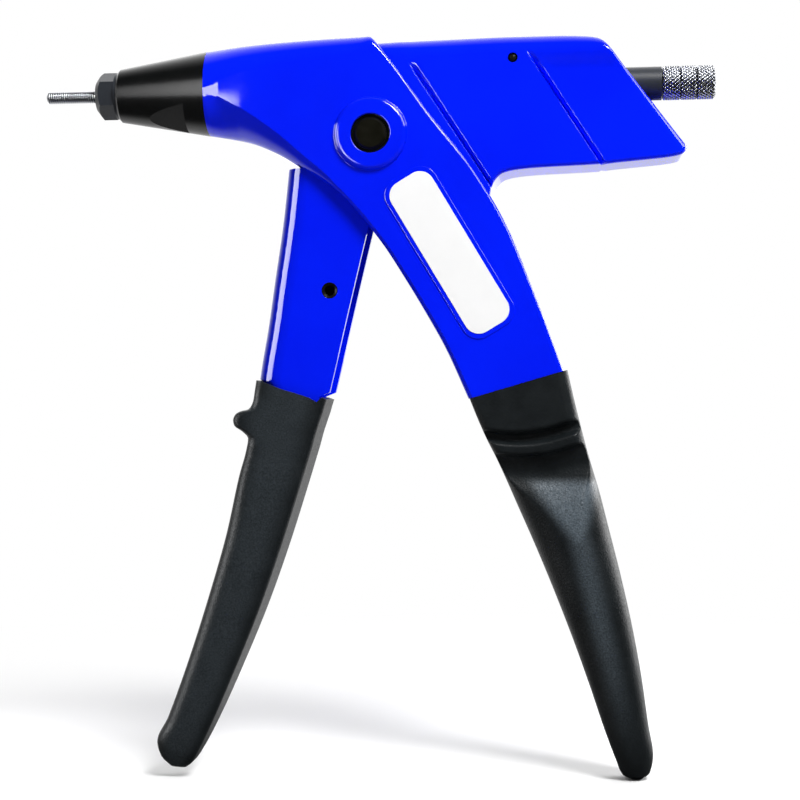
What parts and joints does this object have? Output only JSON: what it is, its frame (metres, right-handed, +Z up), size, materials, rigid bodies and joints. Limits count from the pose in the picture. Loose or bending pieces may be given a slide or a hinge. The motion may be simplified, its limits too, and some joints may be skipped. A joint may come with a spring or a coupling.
{
  "type": "rivet nut tool",
  "caption": "Hand lever rivet nut tool: a squeezed lever draws a threaded mandrel back through a nosepiece, and a knurled knob at the rear spins the mandrel in and out.",
  "frame": {"origin": "middle of the nosepiece's front face, on the mandrel's axis", "axes": "+X runs from the nose to the knob along the mandrel, +Z is up away from the handles, the tool's middle plane is Y = 0"},
  "size_m": [0.2113, 0.0292, 0.2319],
  "materials": {
    "blue_paint": "gloss royal blue paint",
    "black_rubber": "matt black, fine grain",
    "black_steel": "satin black oxide",
    "dark_steel": "dark oiled steel",
    "steel": "bright steel",
    "bronze": "sintered bronze",
    "alloy": "machined"
  },
  "bodies": {
    "body": {"housing": "blue_paint", "rear_hood": "blue_paint", "hood_pin": "dark_steel", "rear_guide": "alloy", "nose_cone": "black_steel", "nosepiece": "black_steel", "front_bush": "bronze", "pivot_pin": "dark_steel", "pivot_bushes": "bronze", "retaining_rings": "black_steel", "fixed_grip": "black_rubber", "return_spring": "steel"},
    "lever": {"lever": "blue_paint", "lever_grip": "black_rubber", "lever_tie": "dark_steel", "drive_pin": "steel", "drive_roller": "steel"},
    "draw": {"draw_tube": "black_steel", "chuck_cap": "dark_steel", "front_race": "steel", "thrust_balls": "steel", "rear_race": "steel", "draw_yoke": "dark_steel", "yoke_nut": "steel"},
    "spindle": {"mandrel": "steel", "drive_spindle": "steel", "knob": "steel", "knob_screw": "dark_steel"}
  },
  "joints": [
    {"name": "lever_squeeze", "type": "hinge", "parent": "body", "child": "lever", "pos_m": [0.0885, 0, -0.0154], "axis": [0, -1, 0], "range_deg": [0, 26], "stiffness_Nm_per_rad": 0.8, "springref_deg": -34.38},
    {"name": "draw_slide", "type": "slide", "parent": "body", "child": "draw", "axis": [1, 0, 0], "range_m": [0, 0.0055], "deforming": ["return_spring"]},
    {"name": "spindle_spin", "type": "hinge", "parent": "draw", "child": "spindle", "pos_m": [0, 0, 0], "axis": [1, 0, 0], "continuous": true}
  ],
  "couplings": [
    {"joint": "draw_slide", "follows": "lever_squeeze", "m_per_rad": 0.012096}
  ]
}
